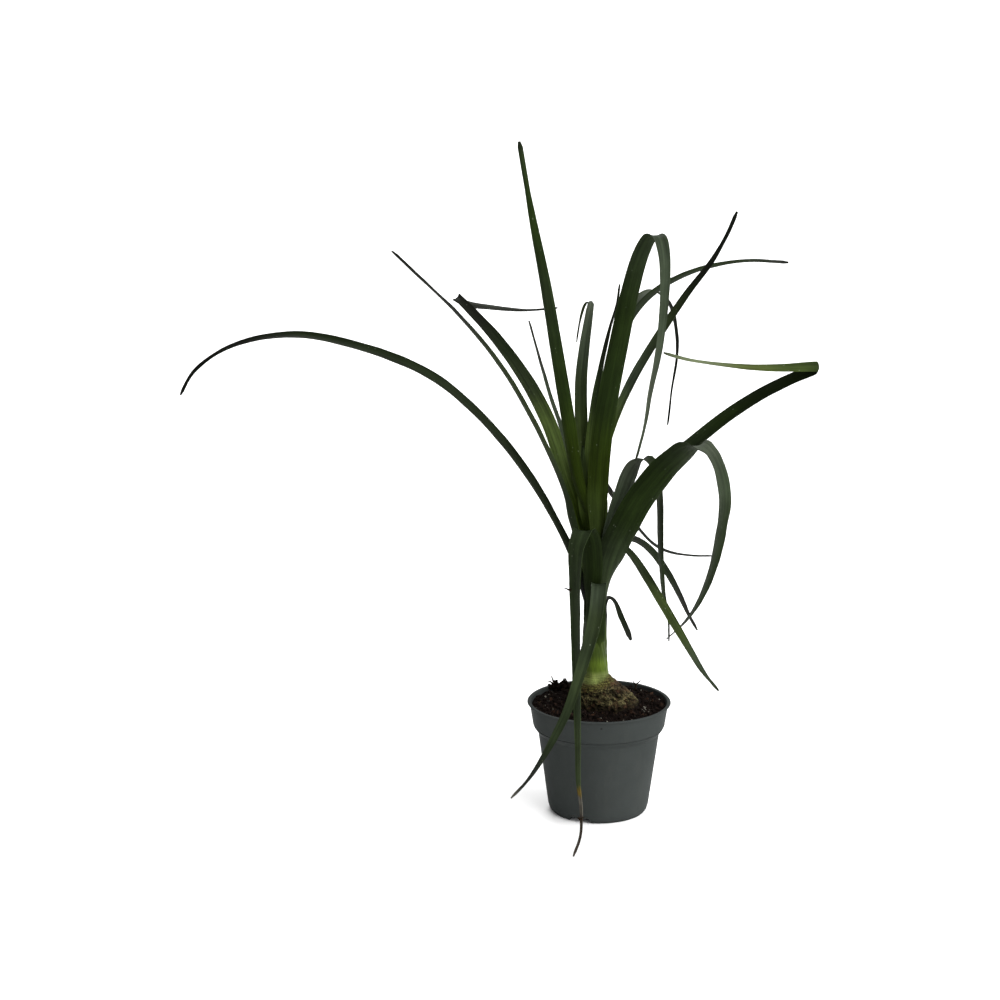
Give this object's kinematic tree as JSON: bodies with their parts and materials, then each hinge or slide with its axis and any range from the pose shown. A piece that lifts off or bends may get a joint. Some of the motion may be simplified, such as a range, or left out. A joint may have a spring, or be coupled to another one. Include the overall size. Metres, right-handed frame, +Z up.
{
  "type": "potted ponytail palm",
  "caption": "Young ponytail palm with a swollen corky foot, one stem and long arching strap leaves, in soil in a plain grey plastic nursery pot.",
  "frame": {"origin": "centre of the pot's foot, on the surface that it stands on", "axes": "+Z up along the pot's axis; -Y towards the front, the side that the picture shows; +X to the right seen from the front"},
  "size_m": [0.5341, 0.2471, 0.5662],
  "materials": {
    "pot_plastic": "dark grey injection-moulded plastic, satin",
    "potting_soil": "dark brown peat with white perlite and bark",
    "corky_bark": "tan cracked corky bark on the foot, pale yellow-green smooth stem",
    "leaf_blade": "satin green, paler at the base, brown at the tips"
  },
  "bodies": {
    "root": {"pot": "pot_plastic", "soil": "potting_soil", "swollen_foot_and_stem": "corky_bark", "leaf_01_left_arch": "leaf_blade", "leaf_02_left_slim": "leaf_blade", "leaf_03_left_folded": "leaf_blade", "leaf_04_small_left": "leaf_blade", "leaf_05_tall": "leaf_blade", "leaf_06_centre_folded": "leaf_blade", "leaf_07_back_right": "leaf_blade", "leaf_08_main_front": "leaf_blade", "leaf_09_right_upright": "leaf_blade", "leaf_10_right_arch": "leaf_blade", "leaf_11_back_droop": "leaf_blade", "leaf_12_right_folded": "leaf_blade", "leaf_13_broad_front": "leaf_blade", "leaf_14_right_bent": "leaf_blade", "leaf_15_back_slim": "leaf_blade", "leaf_16_back_right": "leaf_blade", "leaf_17_right_droop": "leaf_blade", "leaf_18_low_right": "leaf_blade", "leaf_19_front_long": "leaf_blade", "leaf_20_front_short": "leaf_blade"}
  },
  "joints": []
}
